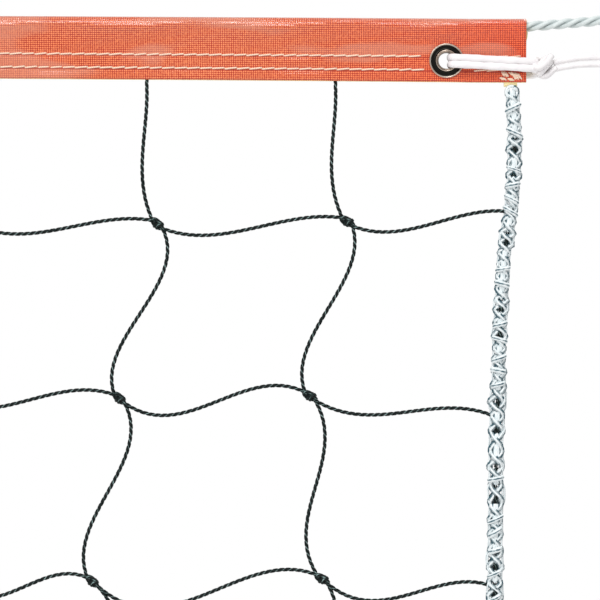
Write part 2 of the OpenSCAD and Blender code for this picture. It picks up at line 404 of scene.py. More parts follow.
def vinyl_material():
    """Orange woven fabric under a clear glossy film, with broad patches of painted reflection and a painted
    red shadow below each row of stitches mixed into its colour.
    """
    nodes = Nodes("orange_vinyl")
    place_x, cloth, _ = nodes.wrap()
    weave = nodes.math("MULTIPLY", nodes.wave(place_x, WARP_PITCH), nodes.wave(cloth, WEFT_PITCH))
    broad = nodes.noise(nodes.stretched((9.0, 1.0, 30.0)), 1.0, 3.0)
    # Broad patches where the painted reflection is mixed into the band's colour.
    reflection_noise = nodes.noise(nodes.stretched((16.0, 1.0, 60.0)), 1.0, 2.0, 0.4)
    reflection_share = nodes.math("MULTIPLY", nodes.clamp(nodes.math("MULTIPLY_ADD", reflection_noise, 14.0, -7.2)), 0.45)
    fine = nodes.noise(nodes.position(), 1100.0, 2.0)
    height = nodes.math("ADD", weave, nodes.math("MULTIPLY_ADD", fine, 0.8, -0.4))
    from_end = nodes.math("SUBTRACT", BAND_END, nodes.math("ABSOLUTE", place_x))
    ruddy = nodes.math("MAXIMUM", nodes.math("MULTIPLY_ADD", from_end, -1 / RUDDY_REACH, 1.0), 0.0)
    groove = nodes.mix(broad, GROOVE_DARK, GROOVE_LIGHT)
    top = nodes.mix(broad, WEAVE_DEEP, WEAVE_PALE)
    top = nodes.mix(nodes.math("MULTIPLY", ruddy, 0.9), top, WEAVE_RUDDY)
    woven = nodes.mix(nodes.clamp(nodes.math("MULTIPLY_ADD", height, 2.1, -0.02)), groove, top)
    cloth_width = float(band_outline()[1][-1])
    from_hem = nodes.math("MINIMUM", cloth, nodes.math("SUBTRACT", cloth_width, cloth))
    from_fold = nodes.math("SUBTRACT", cloth_width / 2, from_hem)
    fold = nodes.math("MAXIMUM", nodes.math("MULTIPLY_ADD", from_fold, -1 / FOLD_GLOSS, 1.0), 0.0)
    # A painted red shadow just below each row of stitches.
    seams = []
    for depth in (UPPER_STITCH_DEPTH, LOWER_STITCH_DEPTH):
        past_seam = nodes.math("SUBTRACT", from_hem, cloth_place(depth) - SEAM_SHADE)
        seams.append(nodes.math("MULTIPLY_ADD", nodes.math("ABSOLUTE", past_seam), -1 / SEAM_SHADE, 1.0))
    seam_shadow = nodes.math("MAXIMUM", nodes.math("MAXIMUM", seams[0], seams[1]), 0.0)
    # Mixes the painted reflection into the woven colour.
    film = nodes.mix(reflection_share, woven, FILM_PAINTED_REFLECTION)
    nodes.set(
        Base_Color=nodes.mix(nodes.math("MULTIPLY", seam_shadow, 0.85), film, SEAM_SHADOW_RED),
        Roughness=nodes.math("MULTIPLY_ADD", broad, 0.25, 0.42),
        Specular_IOR_Level=0.15,
        Coat_Weight=nodes.math("MULTIPLY_ADD", fold, 0.45, 0.55),
        Coat_IOR=1.75,
        Coat_Roughness=0.17,
        Normal=nodes.bump(height, 0.6, 0.0002),
        Coat_Normal=nodes.bump(height, nodes.math("MULTIPLY_ADD", fold, 0.5, 0.4), 0.0002),
    )
    return nodes.material


def strand_material(name, valley_shade, light, lay, strands, roughness, depth,
                    crowns=1.0, specular=0.5, fibre=(2600.0, 500.0)):
    """A twisted cord: its strands' crowns in the cord's own colour, the valleys between them coloured with
    painted shade, and fibres along them. The higher the power crowns is, the narrower its light crowns are."""
    nodes = Nodes(name)
    cosine, sine, along = nodes.wrap()
    angle = nodes.math("ARCTAN2", sine, cosine)
    crown = nodes.crown(angle, along, strands, lay)
    across = nodes.math("MULTIPLY", angle, 0.0012)
    fibres = nodes.fibres(across, nodes.math("MULTIPLY", along, fibre[1] / fibre[0]), fibre[0], 0.65)
    patches = nodes.noise(nodes.position(), 160.0, 2.0)
    bright = nodes.math("POWER", crown, crowns)
    factor = nodes.math("MULTIPLY", bright, nodes.math("MULTIPLY_ADD", fibres, 0.9, 0.35))
    varied = nodes.mix(patches, light, tuple(0.86 * c for c in light[:3]) + (1,))
    nodes.set(
        # The valleys between strands get painted shade; the crowns keep the cord's own colour.
        Base_Color=nodes.mix(factor, valley_shade, varied),
        Roughness=nodes.math("MULTIPLY_ADD", fibres, 0.3, roughness - 0.15),
        Specular_IOR_Level=specular,
        Normal=nodes.bump(nodes.math("MULTIPLY_ADD", fibres, 0.35, crown), 0.6, depth),
    )
    return nodes.material


# Painted shade in the twine's valleys, its strands' own colour, and a painted highlight on their crowns.
TWINE_VALLEY_SHADE = (0.0004, 0.0015, 0.0015, 1)
TWINE_CROWN = (0.003, 0.013, 0.012, 1)
TWINE_PAINTED_GLINT = (0.42, 0.60, 0.58, 1)


def twine_material():
    """Black three-strand twine, with painted shade in the valleys between its strands and a painted highlight
    where each strand's crown comes to the front or the back.
    """
    nodes = Nodes("black_twine")
    cosine, sine, along = nodes.wrap()
    crown = nodes.crown(nodes.math("ARCTAN2", sine, cosine), along, 3, TWINE_LAY)
    facing = nodes.math("POWER", nodes.math("ABSOLUTE", sine), 6.0)
    patches = nodes.noise(nodes.position(), 300.0, 2.0)
    # A painted highlight on each strand's crown, where it faces front or back.
    glint = nodes.math("MULTIPLY", nodes.math("POWER", crown, 9.0), facing)
    glint = nodes.math("MULTIPLY", glint, nodes.math("MULTIPLY_ADD", patches, 3.2, -1.15))
    nodes.set(
        Base_Color=nodes.mix(glint, nodes.mix(crown, TWINE_VALLEY_SHADE, TWINE_CROWN), TWINE_PAINTED_GLINT),
        Roughness=nodes.math("MULTIPLY_ADD", patches, 0.2, 0.45),
        Specular_IOR_Level=0.2,
        Normal=nodes.bump(crown, 0.6, 0.0003),
    )
    return nodes.material


# The lacing's fibre streaks, partly its own tone and partly painted shade; its own white; and painted shade
# along its edges.
LACE_FIBRE_TONE_AND_SHADE = (0.52, 0.63, 0.66, 1)
LACE_WHITE = (1.0, 1.0, 1.0, 1)
LACE_EDGE_SHADE = (0.035, 0.10, 0.13, 1)


def lace_material():
    """Soft white flat lacing, with painted grey-blue shade along its edges where they tuck under the next
    strand, and fibre streaks greyed partly by painted shade.
    """
    nodes = Nodes("laced_white")
    cosine, _, along = nodes.wrap()
    across = nodes.math("MULTIPLY", cosine, 0.0016)
    fibres = nodes.fibres(across, nodes.math("MULTIPLY", along, 0.16), 2300.0, 0.6)
    # Noise that moves where the painted edge shade falls.
    wear_and_shade_noise = nodes.math("MULTIPLY_ADD", nodes.noise(nodes.position(), 420.0, 2.0), 0.7, -0.35)
    edge = nodes.math("ADD", nodes.math("ABSOLUTE", cosine), wear_and_shade_noise)
    edge = nodes.clamp(nodes.math("MULTIPLY_ADD", edge, 4.2, -3.1))
    white = nodes.mix(nodes.math("MULTIPLY_ADD", fibres, 2.4, -0.7), LACE_FIBRE_TONE_AND_SHADE, LACE_WHITE)
    nodes.set(
        Base_Color=nodes.mix(edge, white, LACE_EDGE_SHADE),
        Roughness=0.5,
        Specular_IOR_Level=0.4,
        Normal=nodes.bump(fibres, 0.5, 0.0003),
    )
    return nodes.material


def metal_material(name, colour, roughness):
    """Plated metal, rubbed a little unevenly."""
    nodes = Nodes(name)
    wear_and_shade_noise = nodes.noise(nodes.position(), 1400.0, 4.0, 0.7)
    dull = tuple(0.72 * c for c in colour[:3]) + (1,)
    nodes.set(
        Base_Color=nodes.mix(wear_and_shade_noise, dull, colour),
        Metallic=1.0,
        Roughness=nodes.math("MULTIPLY_ADD", wear_and_shade_noise, 0.22, roughness),
        Normal=nodes.bump(wear_and_shade_noise, 0.08, 0.0001),
    )
    return nodes.material


TAPE_PITCH = 0.0007


def tape_material():
    """Cream woven tape."""
    nodes = Nodes("cream_tape")
    x, _, z = nodes.split(nodes.position())
    weave = nodes.math("MULTIPLY", nodes.wave(x, TAPE_PITCH), nodes.wave(z, TAPE_PITCH))
    nodes.set(
        Base_Color=nodes.mix(weave, (0.95, 0.76, 0.36, 1), (1.0, 0.95, 0.68, 1)),
        Roughness=0.8,
        Normal=nodes.bump(weave, 0.6, 0.0002),
    )
    return nodes.material


def floor_material():
    nodes = Nodes("pale_floor")
    cloud = nodes.noise(nodes.position(), 1.5, 2.0)
    nodes.set(
        Base_Color=nodes.mix(cloud, (0.86, 0.86, 0.86, 1), (0.9, 0.9, 0.9, 1)),
        Roughness=0.9,
    )
    return nodes.material


ROPE_LAY = 0.024
TWINE_LAY = 0.0102
TIE_LAY = 0.009
THREAD_LAY = 0.0024
vinyl = vinyl_material()
# Each cord's first colour is painted shade for the valleys between its strands; the second is its own colour.
rope_white = strand_material(
    "white_rope", (0.42, 0.48, 0.48, 1), (0.80, 0.86, 0.85, 1), ROPE_LAY, 3, 0.55, 0.0006, 0.7)
tie_white = strand_material(
    "white_tie", (0.80, 0.77, 0.79, 1), (0.95, 0.92, 0.92, 1), TIE_LAY, 1, 0.8, 0.00008, 0.2, 0.3,
    (1500.0, 160.0))
lace_white = lace_material()
twine_black = twine_material()
thread_cream = strand_material(
    "cream_thread", (0.85, 0.50, 0.34, 1), (1.0, 0.90, 0.74, 1), THREAD_LAY, 2, 0.8, 0.0001, 0.6)
nickel = metal_material("nickel", (0.66, 0.56, 0.47, 1), 0.2)
nickel_brown = metal_material("nickel_brown", (0.36, 0.28, 0.22, 1), 0.25)
# A near-black plating colour for the grommet's groove: a painted reflection.
nickel_painted_reflection = metal_material("nickel_painted_reflection", (0.022, 0.021, 0.018, 1), 0.22)
tape = tape_material()


# ---- head rope ----

ROPE_DIAMETER = 0.005
ROPE_END_ROUTE = [
    (-0.020, 0.0), (-0.008, 0.0), (0.0, 0.0002), (0.010, 0.0009), (0.020, 0.0017), (0.031, 0.0026),
    (0.042, 0.0036), (0.050, 0.0042)]
ROPE_KNOT_PLACE = (0.052, 0.0044)
ROPE_LOOP_ROUTE = [
    (0.057, 0.0072), (0.064, 0.0105), (0.074, 0.014), (0.086, 0.0165), (0.098, 0.0155), (0.107, 0.011),
    (0.110, 0.006), (0.107, 0.001), (0.098, -0.0035), (0.086, -0.0045), (0.074, -0.0025),
    (0.064, 0.0005), (0.057, 0.002)]
# Where the loop starts and ends inside its knot.
LOOP_ROOTS = ((0.052, 0.0055), (0.052, 0.0035))
# A knot's coil: length, turns and radii.
ROPE_KNOT_COIL = (0.0105, 3.0, (0.0052, 0.0046))
ROPE_KNOT_CROSS = [
    (-0.006, -0.0035, -0.003), (-0.002, -0.0062, -0.001), (0.003, -0.0062, 0.002), (0.0065, -0.003, 0.0042)]
ROPE_STEP = 0.0008
# The visible strands stand a little proud of the rope's nominal size.
ROPE_FULLNESS = 1.12


def coil(centre, axis, length, turns, radii, step):
    """A helix about an axis through centre, for the wraps of a knot."""
    axis = np.asarray(axis, float)
    across = np.cross(axis, BACK)
    count = max(int(turns * 2 * math.pi * max(radii) / step), 8)
    share = np.linspace(0, 1, count)
    turn = 2 * math.pi * turns * share
    ends = np.minimum(1, np.minimum(share, 1 - share) * 6 + 0.35)
    return (np.asarray(centre, float) + axis * (length * (share - 0.5))[:, None]
            + across * (radii[0] * ends * np.cos(turn))[:, None]
            + BACK * (radii[1] * ends * np.sin(turn))[:, None])


def make_head_rope():
    """The whole rope is one free cord, with a knot and a loop at each end."""
    section = lobed(ROPE_DIAMETER / 2 * ROPE_FULLNESS, 3, 7)
    rope = Shape()
    inside = np.array([(-0.060, 0.0, 0.0), (-0.040, 0.0, 0.0)])
    route = np.concatenate([inside, in_plane(ROPE_END_ROUTE)])
    right = smooth(mirrored(route, 1), ROPE_STEP)[::-1]
    left = smooth(mirrored(route, -1), ROPE_STEP)
    middle_x = np.linspace(right[-1][0] + 0.001, left[0][0] - 0.001, 320)
    middle = np.stack([middle_x, 0 * middle_x, 0 * middle_x], axis=1)
    sweep(rope, right, section, ROPE_LAY)
    sweep(rope, middle, circle(ROPE_DIAMETER / 2, 10))
    sweep(rope, left, section, ROPE_LAY)
    thing = add_piece("head_rope_cord", rope, rope_white, "rope", "white_rope", "head_rope")
    for side, name in SIDES:
        loop = Shape()
        route = in_plane([LOOP_ROOTS[0]] + ROPE_LOOP_ROUTE + [LOOP_ROOTS[1]])
        sweep(loop, smooth(mirrored(route, side), ROPE_STEP), section, ROPE_LAY)
        add_piece("head_rope_loop_" + name, loop, rope_white,
                                "rope", "white_rope", "rope_loop_" + name)
        knot = Shape()
        centre = in_plane([ROPE_KNOT_PLACE])[0]
        wraps = coil(centre, (1.0, 0.0, 0.0), *ROPE_KNOT_COIL, 0.0009)
        sweep(knot, mirrored(wraps, side), section, ROPE_LAY, None)
        lay_strand(knot, ROPE_KNOT_CROSS, centre, side, section, ROPE_STEP, ROPE_LAY)
        add_piece("head_rope_knot_" + name, knot, rope_white,
                                "rope", "white_rope", "rope_knot_" + name)


make_head_rope()


# ---- ties ----

TIE_DIAMETER = 0.0032
GROMMET_INSET = 0.0422
GROMMET_DEPTH = 0.018
TIE_SPREAD = 0.00186
TIE_ROUTE = [
    (0.006, -0.0014), (0.002, -0.0033), (-0.003, -0.0047), (-0.012, -0.005), (-0.024, -0.0052),
    (-0.035, -0.0055), (-0.0388, -0.0048), (-0.0403, -0.0024), (-0.0403, 0.0024), (-0.0388, 0.0048),
    (-0.035, 0.0057), (-0.024, 0.0052), (-0.012, 0.005), (-0.003, 0.0047), (0.002, 0.0033), (0.006, 0.0014)]
TIE_KNOT_PLACE = (0.008, -0.0207)
TIE_END_PLACE = (0.060, -0.018)
UPPER_TAIL_ROUTE = [
    (0.0145, -0.0189), (0.022, -0.0174), (0.031, -0.0163), (0.044, -0.0161), (0.056, -0.0162)]
LOWER_TAIL_ROUTE = [
    (0.0145, -0.0225), (0.022, -0.021), (0.031, -0.020), (0.044, -0.0199), (0.056, -0.0198)]
TIE_STEP = 0.0006
TIE_END_COIL = (0.0068, 2.5, (0.0035, 0.0031))
TIE_END_CROSS = [
    (-0.004, -0.003, 0.002), (-0.001, -0.0046, 0.001), (0.002, -0.0046, -0.001), (0.0046, -0.0025, -0.0022)]
TIE_KNOT_COIL = (0.0068, 2.4, (0.0043, 0.0034))
TIE_KNOT_OVER = [
    (-0.005, -0.0012, 0.0012), (-0.0025, -0.0048, -0.0012), (0.0018, -0.0052, 0.0014),
    (0.0046, -0.0028, 0.0052)]
TIE_KNOT_UNDER = [
    (-0.0045, 0.0008, -0.0012), (-0.001, 0.0005, -0.0046), (0.002, -0.0010, -0.0052),
    (0.0056, -0.0006, -0.0022), (0.0072, 0.0, -0.0012)]
TIE_KNOT_SLANT = (0.82, 0.0, -0.57)


def make_tails(side, name):
    """The two free tails of a tie, each a cord, and the knot that holds their ends together."""
    body = "tie_" + name
    end_knot = Shape()
    centre = in_plane([TIE_END_PLACE])[0]
    strand = circle(0.0016, 12)
    wraps = coil(centre, (1.0, 0.0, 0.0), *TIE_END_COIL, TIE_STEP)
    sweep(end_knot, mirrored(wraps, side), strand, TIE_LAY, None)
    lay_strand(end_knot, TIE_END_CROSS, centre, side, strand, TIE_STEP, TIE_LAY)
    knot = add_piece("tie_end_knot_" + name + "_cord", end_knot, tie_white,
                     body, "white_tie", "tie_end_knot_" + name)
    for which, route, held in (("upper", UPPER_TAIL_ROUTE, [knot]), ("lower", LOWER_TAIL_ROUTE, [])):
        path = smooth(mirrored(in_plane(route), side), TIE_STEP)
        tail = Shape()
        sweep(tail, path, circle(TIE_DIAMETER / 2, 14), TIE_LAY)
        thing = add_piece("tie_tail_" + which + "_" + name, tail, tie_white,
                          body, "white_tie", "tie_tails_" + name)


def make_lashing(side, name):
    """Two strands through the grommet, in front of the band and behind it, and their knot. Their
    width varies a little, as a soft cord's does."""
    lashing = Shape()
    drop = (TIE_KNOT_PLACE[1] + GROMMET_DEPTH) / (TIE_KNOT_PLACE[0] + GROMMET_INSET)
    section = circle(TIE_DIAMETER / 2, 18) * (1.2, 0.9)
    for strand in (-1, 1):
        route = []
        for x, y in TIE_ROUTE:
            sag = 0.0034 * math.exp(-((x - 0.001) / 0.008) ** 2) if y > 0 else 0.0
            z = drop * (x + GROMMET_INSET) - GROMMET_DEPTH + strand * TIE_SPREAD - sag
            route.append((x, y + 0.0002 * strand, z))
        path = smooth(mirrored(route, side), TIE_STEP)
        number = np.arange(len(path))
        swell = 1 + 0.045 * np.sin(number * 0.23 + strand) + 0.03 * np.sin(number * 0.61)
        sweep(lashing, path, section, 0.0, None, swell)
    add_piece("tie_lashing_" + name + "_strands", lashing, tie_white,
              "band", "white_tie", "tie_lashing_" + name)
    knot = Shape()
    centre = np.array([TIE_KNOT_PLACE[0] + 0.0006, 0.0, TIE_KNOT_PLACE[1]])
    thick = circle(0.0018, 14)
    wraps = coil(centre, unit(np.array(TIE_KNOT_SLANT)), *TIE_KNOT_COIL, TIE_STEP)
    sweep(knot, mirrored(wraps, side), thick, TIE_LAY, None)
    for strand in (TIE_KNOT_OVER, TIE_KNOT_UNDER):
        lay_strand(knot, strand, centre, side, thick, TIE_STEP, TIE_LAY)
    add_piece("tie_knot_" + name + "_wraps", knot, tie_white, "band", "white_tie", "tie_knot_" + name)


for side_sign, side_name in SIDES:
    make_tails(side_sign, side_name)
    make_lashing(side_sign, side_name)


# ---- head band ----

# Creases in the film: start and end (place in from the band's right end, depth), height and width.
CREASES = [
    (0.024, 0.0130, 0.003, 0.0092, 0.00035, 0.0007),
    (0.110, 0.0120, 0.052, 0.0030, 0.00025, 0.0012),
    (0.150, 0.0140, 0.100, 0.0040, 0.00025, 0.0014),
    (0.075, 0.0060, 0.020, 0.0015, 0.00025, 0.0012),
    (0.205, 0.0110, 0.160, 0.0030, 0.00022, 0.0014),
    (0.262, 0.0120, 0.215, 0.0050, 0.00022, 0.0014)]
# How high a wavy ridge along the fold stands, where the film lies over the rope.
RIDGE_HEIGHT = 0.0009
# How many slack ripples cross the film, and how much the back layer stands out at the ends.
RIPPLES = 26
BACK_LAYER_REACH = 0.0011
CLOTH_THICKNESS = 0.0008
GROMMET_HOLE = 0.0063
# Half the thickness of the band where the grommet presses it flat.
PRESSED = 0.0015
# How far in from the right end the band's surface and its stitches are modelled finely.
FINE_REACH = 0.34


def drift(x):
    """How much the band rises, in from an end: its top edge, and its hem."""
    inward = BAND_END - abs(x)
    rise = np.clip((inward - 0.03) / 0.27, 0, 1) ** 0.8
    wander = np.clip((inward - 0.3) / 0.5, 0, 1)
    waves = 0.0006 * np.sin(inward * 9.7) + 0.0005 * np.sin(inward * 4.1 + 1.0)
    return rise * 0.0016 + wander * waves, rise * 0.0022 + wander * waves


def band_columns():
    """Places along the band: close together near the right end, where the film's creases show."""
    inner = BAND_END - FINE_REACH
    left = np.linspace(-BAND_END, -inner, 86, endpoint=False)
    middle = np.linspace(-inner, inner, 440, endpoint=False)
    right = np.linspace(inner, BAND_END, 205)
    return np.concatenate([left, middle, right])


def from_grommet(x, z):
    """Distance from the axis of the nearer grommet."""
    return np.hypot(np.abs(x) - (BAND_END - GROMMET_INSET), z + GROMMET_DEPTH)


def film_relief(grid_x, grid_z, facing):
    """How far the film stands out: ripples, creases and the ridge, held down at seams and grommets."""
    randomly = np.random.default_rng(7)
    relief = np.zeros_like(grid_x)
    for number in range(RIPPLES):
        length = randomly.uniform(0.02, 0.12)
        tilt = randomly.uniform(-0.5, 0.5)
        strength = 0.00010 * (length / 0.06) ** 0.6
        start = randomly.uniform(0, 2 * np.pi)
        run = grid_x + tilt * grid_z * 3 * np.sign(facing + 0.1)
        coming = 0.5 + 0.5 * np.sin(grid_x * 5 + number)
        relief += strength * np.sin(2 * np.pi * run / length + start) * coming
    for start_in, start_depth, end_in, end_depth, height, width in CREASES:
        for mirror, _ in SIDES:
            a = np.array([mirror * (BAND_END - start_in), -start_depth])
            b = np.array([mirror * (BAND_END - end_in), -end_depth])
            line = b - a
            here = np.stack([grid_x, grid_z], axis=-1) - a
            part = np.clip((here @ line) / line.dot(line), 0, 1)
            away = np.linalg.norm(here - part[..., None] * line, axis=-1)
            fade = np.sin(np.pi * np.clip(part, 0.04, 0.96)) ** 0.5
            relief += height * fade * np.exp(-(away / width) ** 2)
    inward = BAND_END - np.abs(grid_x)
    ridge = 0.0024 - 0.0028 * np.sin(np.pi * (inward - 0.173) / 0.078) ** 2
    relief += RIDGE_HEIGHT * np.exp(-((grid_z - ridge) / 0.0013) ** 2)
    held = np.zeros_like(grid_x)
    for depth in (UPPER_STITCH_DEPTH, LOWER_STITCH_DEPTH):
        held = held + np.exp(-((-grid_z - depth) / 0.0016) ** 2)
    held = held + np.exp(-(from_grommet(grid_x, grid_z) / 0.011) ** 4)
    return relief * (1 - 0.9 * np.clip(held, 0, 1))


def band_shape():
    """The fabric's middle surface, folded over the rope and holed at the grommets."""
    x = band_columns()
    outline, along = band_outline()
    cloth = np.linspace(0, 1, 61) * along[-1]
    rows = len(cloth)
    grid_x = np.repeat(x[:, None], rows, axis=1)
    grid_y = np.repeat(np.interp(cloth, along, outline[:, 0])[None], len(x), axis=0)
    grid_z = np.repeat(np.interp(cloth, along, outline[:, 1])[None], len(x), axis=0)
    top_rise, hem_rise = drift(x)
    share = np.clip(-grid_z / HEM_DEPTH, 0, 1)
    grid_z = grid_z + top_rise[:, None] * (1 - share) + hem_rise[:, None] * share
    facing = np.sign(grid_y) * np.clip(np.abs(grid_y) / 0.0014, 0, 1)
    grid_y = grid_y + film_relief(grid_x, grid_z, facing) * facing
    flat = np.exp(-(from_grommet(grid_x, grid_z) / 0.0118) ** 8)
    grid_y = grid_y * (1 - flat) + np.sign(grid_y) * PRESSED * flat
    behind = np.clip(grid_y / 0.002, 0, 1) * np.exp(-((grid_z + 0.0015) / 0.0055) ** 4)
    at_end = np.abs(grid_x) > BAND_END - 0.0001
    grid_x = grid_x + np.sign(grid_x) * BACK_LAYER_REACH * behind * at_end
    quads = grid_quads(len(x), rows)
    middle_x = (grid_x[:-1, :-1] + grid_x[1:, 1:]) / 2
    middle_z = (grid_z[:-1, :-1] + grid_z[1:, 1:]) / 2
    kept = quads[from_grommet(middle_x, middle_z) > GROMMET_HOLE]
    points = np.stack([grid_x, grid_y, grid_z], axis=-1).reshape(-1, 3)
    cloth_places = np.repeat(cloth[None], len(x), axis=0)
    wraps = np.stack([grid_x, cloth_places, 0 * grid_x], axis=-1).reshape(-1, 3)
    used = np.unique(kept)
    renumber = np.zeros(len(points), int)
    renumber[used] = np.arange(len(used))
    band = Shape()
    band.add(points[used], wraps[used], renumber[kept].tolist())
    return band


def make_band():
    """One sheet with cream fabric inside, which shows at the ends of the fold."""
    thing = make_object("header_band_fabric", band_shape(), vinyl)
    thing.data.materials.append(tape)
    solid = thicken(thing, CLOTH_THICKNESS)
    solid.material_offset = 1
    solid.material_offset_rim = 1
    place(thing, "band", "orange_vinyl", "header_band")


make_band()


def front_at(x, depth):
    """How far the band's outer face stands from its middle plane at a depth, and that depth's height."""
    depths = [p[0] for p in BAND_PROFILE[:14]][::-1]
    widths = [p[1] for p in BAND_PROFILE[:14]][::-1]
    top_rise, hem_rise = drift(x)
    share = depth / HEM_DEPTH
    height = top_rise * (1 - share) + hem_rise * share - depth
    return np.interp(depth, depths, widths) + CLOTH_THICKNESS / 2, height


# ---- stitches, bar-tacks, grommets and tabs ----

STITCH_PITCH = 0.0066
THREAD = 0.00092
# Stitches stop this far from a grommet's axis.
STITCH_GAP = 0.0125


def make_stitches(name, depth, end_gap, node):
    """Rows of single stitches on both faces, each one dipping into the film at its ends."""
    rng = random.Random(3)
    row = Shape()
    fine = circle(THREAD / 2, 7)
    coarse = circle(THREAD / 2, 4)
    count = int(2 * (BAND_END - end_gap) / STITCH_PITCH)
    for face in (-1, 1):
        for number in range(count):
            x = BAND_END - end_gap - (number + 0.5) * STITCH_PITCH
            if abs(abs(x) - (BAND_END - GROMMET_INSET)) < STITCH_GAP:
                continue
            close = BAND_END - x < FINE_REACH
            half = STITCH_PITCH * rng.uniform(0.47, 0.51)
            slant = -0.00026 * face + rng.uniform(-0.0001, 0.0001)
            out, z = front_at(x, depth)
            share = np.linspace(-1, 1, 9 if close else 3)
            lift = 0.00045 * (1 - share ** 4) - 0.0001
            path = np.stack([x + half * share, face * (out + lift), z + slant * share], axis=1)
            sweep(row, path, fine if close else coarse, 0.0, (0.0, 0.0, 1.0), begin=0.013 * number)
    add_piece(name, row, thread_cream, "band", "cream_thread", node)


# A bar-tack's patches of thread: how far in from the band's end and how deep the middle is, half
# width, half depth, lean and number of stitches.
BARTACK_PATCHES = [
    (0.0050, 0.0262, 0.0018, 0.0018, -0.0009, 10), (0.0074, 0.0250, 0.0012, 0.0010, -0.0010, 5),
    (0.0112, 0.0252, 0.0014, 0.0014, -0.0006, 8), (0.0122, 0.0276, 0.0012, 0.0007, -0.0007, 4),
    (0.0082, 0.0279, 0.0012, 0.0006, -0.0008, 4)]


def make_bartack(side, name):
    """Uneven patches of short leaning stitches at the corner, on both faces."""
    rng = random.Random(11)
    tack = Shape()
    section = circle(THREAD / 2 * 0.9, 6)
    for face in (-1, 1):
        for inset, middle, half_width, half_depth, lean, count in BARTACK_PATCHES:
            for number in range(count):
                x = -inset + half_width * (2 * (number + 0.5) / count - 1) + rng.uniform(-0.0002, 0.0002)
                upper = middle - half_depth * rng.uniform(0.5, 1.0)
                lower = middle + half_depth * rng.uniform(0.5, 1.0)
                points = []
                for share in (-1.0, -0.4, 0.4, 1.0):
                    depth = (upper + lower) / 2 + share * (lower - upper) / 2
                    out, z = front_at(BAND_END + x, depth)
                    lift = 0.0005 * (1 - share ** 4) - 0.0001 + 0.0001 * (number % 3)
                    points.append((x - lean * share, face * (out + lift), z))
                sweep(tack, smooth(mirrored(points, side), 0.0004), section)
    add_piece("bartack_" + name + "_thread", tack, thread_cream, "band", "cream_thread", "bartack_" + name)


def lathe(name, side, profile, material_of, material_list, sides=72):
    """Turns a closed profile of (radius, height in front of the net's plane) about a grommet's axis."""
    centre = mirrored([(-GROMMET_INSET, 0.0, -GROMMET_DEPTH)], side)[0]
    profile = np.array(profile)
    turn = np.linspace(0, 2 * np.pi, sides, endpoint=False)
    points = np.stack([
        centre[0] + profile[None, :, 0] * np.cos(turn)[:, None],
        np.broadcast_to(-profile[None, :, 1], (sides, len(profile))),
        centre[2] + profile[None, :, 0] * np.sin(turn)[:, None]], axis=-1).reshape(-1, 3)
    rows = len(profile)
    number = np.arange(sides * rows).reshape(sides, rows)
    beside = np.roll(number, -1, axis=0)
    after = np.roll(number, -1, axis=1)
    beside_after = np.roll(beside, -1, axis=1)
    quads = np.stack([number, after, beside_after, beside], axis=-1).reshape(-1, 4)
    ring = Shape()
    ring.add(points, np.zeros_like(points), quads.tolist())
    thing = make_object(name, ring, material_list[0])
    for extra in material_list[1:]:
        thing.data.materials.append(extra)
    indices = np.tile([material_of(r) for r in range(rows)], sides)
    thing.data.polygons.foreach_set("material_index", indices.astype(np.int32))
    return thing


def make_grommet(side, name):
    """A set eyelet: an outer rim, a groove coloured near black as a painted reflection, a raised lip, the
    barrel, and a washer behind.
    """
    front = [
        (0.00425, -0.0030), (0.00425, 0.0024), (0.0044, 0.0031), (0.0047, 0.0035), (0.0050, 0.0034),
        (0.0052, 0.0032), (0.0053, 0.0034), (0.0055, 0.0034), (0.0057, 0.0032), (0.0059, 0.0029),
        (0.0061, 0.0026), (0.0066, 0.0024), (0.0078, 0.0024), (0.0083, 0.0026), (0.0085, 0.0029),
        (0.0088, 0.0030), (0.0091, 0.0028), (0.0092, 0.0024), (0.0091, 0.0021), (0.0050, 0.0021),
        (0.0048, 0.0018), (0.0048, -0.0026), (0.0052, -0.0029), (0.0056, -0.0033), (0.0052, -0.0037),
        (0.0047, -0.0036)]
    # These rows take the near-black painted reflection.
    reflection_rows = (1, 4, 8, 9, 10, 11, 12)
    brown_rows = (0, 2, 3, 6)
    eyelet = lathe("grommet_eyelet_" + name + "_plated", side, front,
                   lambda r: 1 if r in reflection_rows else 2 if r in brown_rows else 0,
                   [nickel, nickel_painted_reflection, nickel_brown])
    place(eyelet, "band", "nickel", "grommet_eyelet_" + name)
    back = [
        (0.0052, -0.0021), (0.0090, -0.0021), (0.0092, -0.0024), (0.0090, -0.0028), (0.0086, -0.0029),
        (0.0080, -0.0026), (0.0070, -0.0026), (0.0060, -0.0027), (0.0053, -0.0025)]
    washer = lathe("grommet_washer_" + name + "_plated", side, back, lambda r: 0, [nickel])
    place(washer, "band", "nickel", "grommet_washer_" + name)


def make_tab(side, name):
    """A short folded tape between the band's layers, which the side cord's loop goes through."""
    x = np.linspace(-0.0118, -0.0048, 9)
    share = np.linspace(0, 1, 21)
    turn = np.pi * np.clip((share - 0.35) / 0.30, 0, 1)
    y = -0.0011 * np.cos(turn)
    low = -0.0306
    z = np.where(share < 0.35, low + 0.0060 * (0.35 - share) / 0.35,
                 np.where(share > 0.65, low + 0.0060 * (share - 0.65) / 0.35, low - 0.0009 * np.sin(turn)))
    grid_x = np.repeat(x[:, None], len(share), axis=1)
    points = np.stack([grid_x, np.repeat(y[None], len(x), 0), np.repeat(z[None], len(x), 0)], axis=-1)
    points = mirrored(points.reshape(-1, 3), side)
    shape = Shape()
    shape.add(points, np.zeros_like(points), grid_quads(len(x), len(share)).reshape(-1, 4).tolist())
    thing = make_object("corner_tab_" + name + "_tape", shape, tape)
    thicken(thing, 0.0005)
    place(thing, "band", "cream_tab", "corner_tab_" + name)


